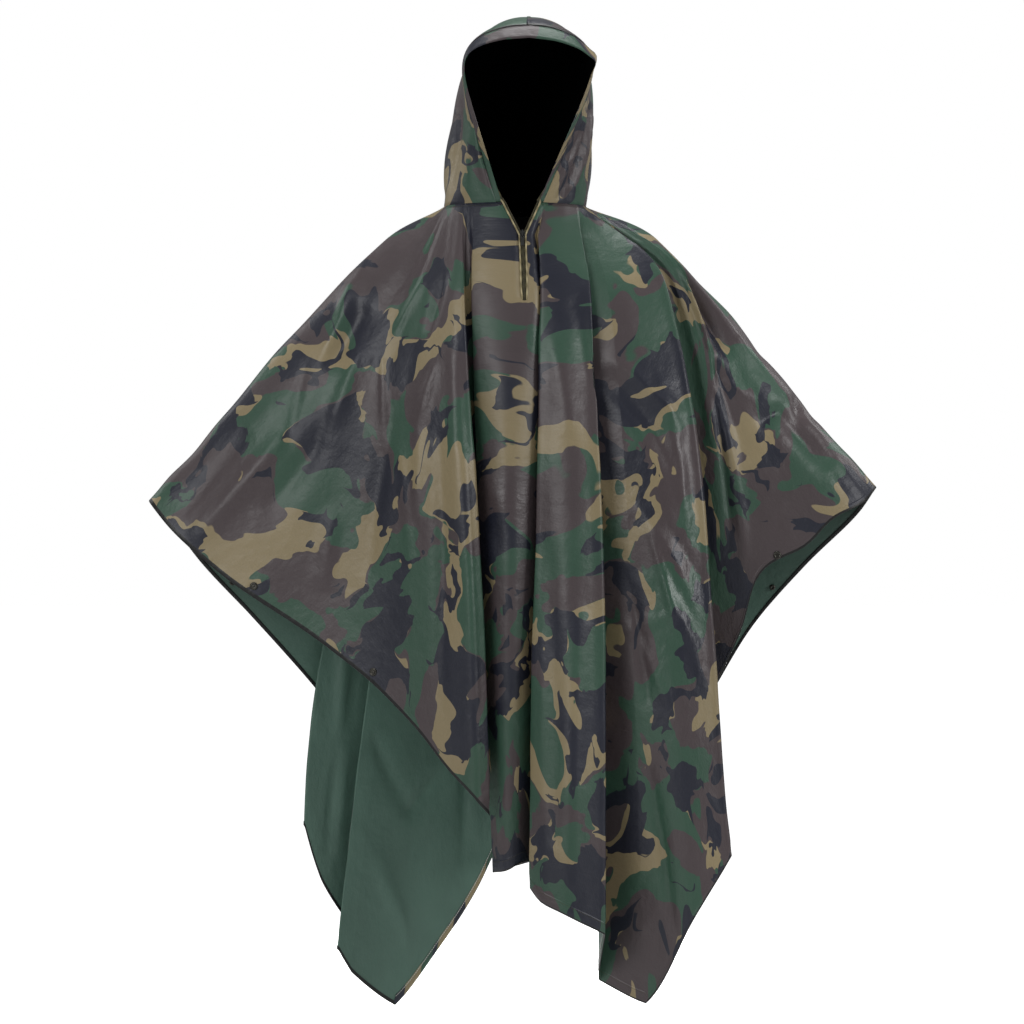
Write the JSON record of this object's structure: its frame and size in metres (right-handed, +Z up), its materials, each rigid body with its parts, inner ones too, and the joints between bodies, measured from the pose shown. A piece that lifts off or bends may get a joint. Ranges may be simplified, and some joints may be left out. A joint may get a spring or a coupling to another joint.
{
  "type": "rain poncho",
  "caption": "Hooded camouflage rain poncho, filled out as worn: a wide folded sheet open at the sides, with a zipped neck slit and a round hood.",
  "frame": {"origin": "middle of the neck seam, where the wearer's neck and shoulders hold the poncho up", "axes": "+Z up, the front of the poncho towards -Y, the wearer's left arm towards +X"},
  "size_m": [1.091, 0.426, 1.5011],
  "materials": {
    "camouflage_cloth": "coated ripstop cloth in a woodland pattern of tan, green, brown and near-black, satin outside and dull dark green inside",
    "hood_cloth": "the same coated cloth",
    "zip_tape": "woven olive tan tape",
    "zip_metal": "dark bronze enamel",
    "snap_metal": "dark lacquered"
  },
  "bodies": {
    "poncho": {"front_panel": "camouflage_cloth", "back_panel": "camouflage_cloth", "hood_left_panel": "hood_cloth", "hood_right_panel": "hood_cloth", "hood_face_band": "hood_cloth", "zip_tape_left": "zip_tape", "zip_tape_right": "zip_tape", "zip_slider": "zip_metal", "snap_cap_front_left_upper": "snap_metal", "snap_stud_front_left_upper": "snap_metal", "snap_cap_front_left_lower": "snap_metal", "snap_stud_front_left_lower": "snap_metal", "snap_cap_front_right_upper": "snap_metal", "snap_stud_front_right_upper": "snap_metal", "snap_cap_front_right_lower": "snap_metal", "snap_stud_front_right_lower": "snap_metal", "snap_cap_back_left_upper": "snap_metal", "snap_stud_back_left_upper": "snap_metal", "snap_cap_back_left_lower": "snap_metal", "snap_stud_back_left_lower": "snap_metal", "snap_cap_back_right_upper": "snap_metal", "snap_stud_back_right_upper": "snap_metal", "snap_cap_back_right_lower": "snap_metal", "snap_stud_back_right_lower": "snap_metal"},
    "pull_tab": {"zip_pull_tab": "zip_metal"}
  },
  "joints": [
    {"name": "tab_swing", "type": "hinge", "parent": "poncho", "child": "pull_tab", "pos_m": [0.01087, -0.10392, -0.04769], "axis": [-1, 0, 0], "range_deg": [0, 150]}
  ]
}
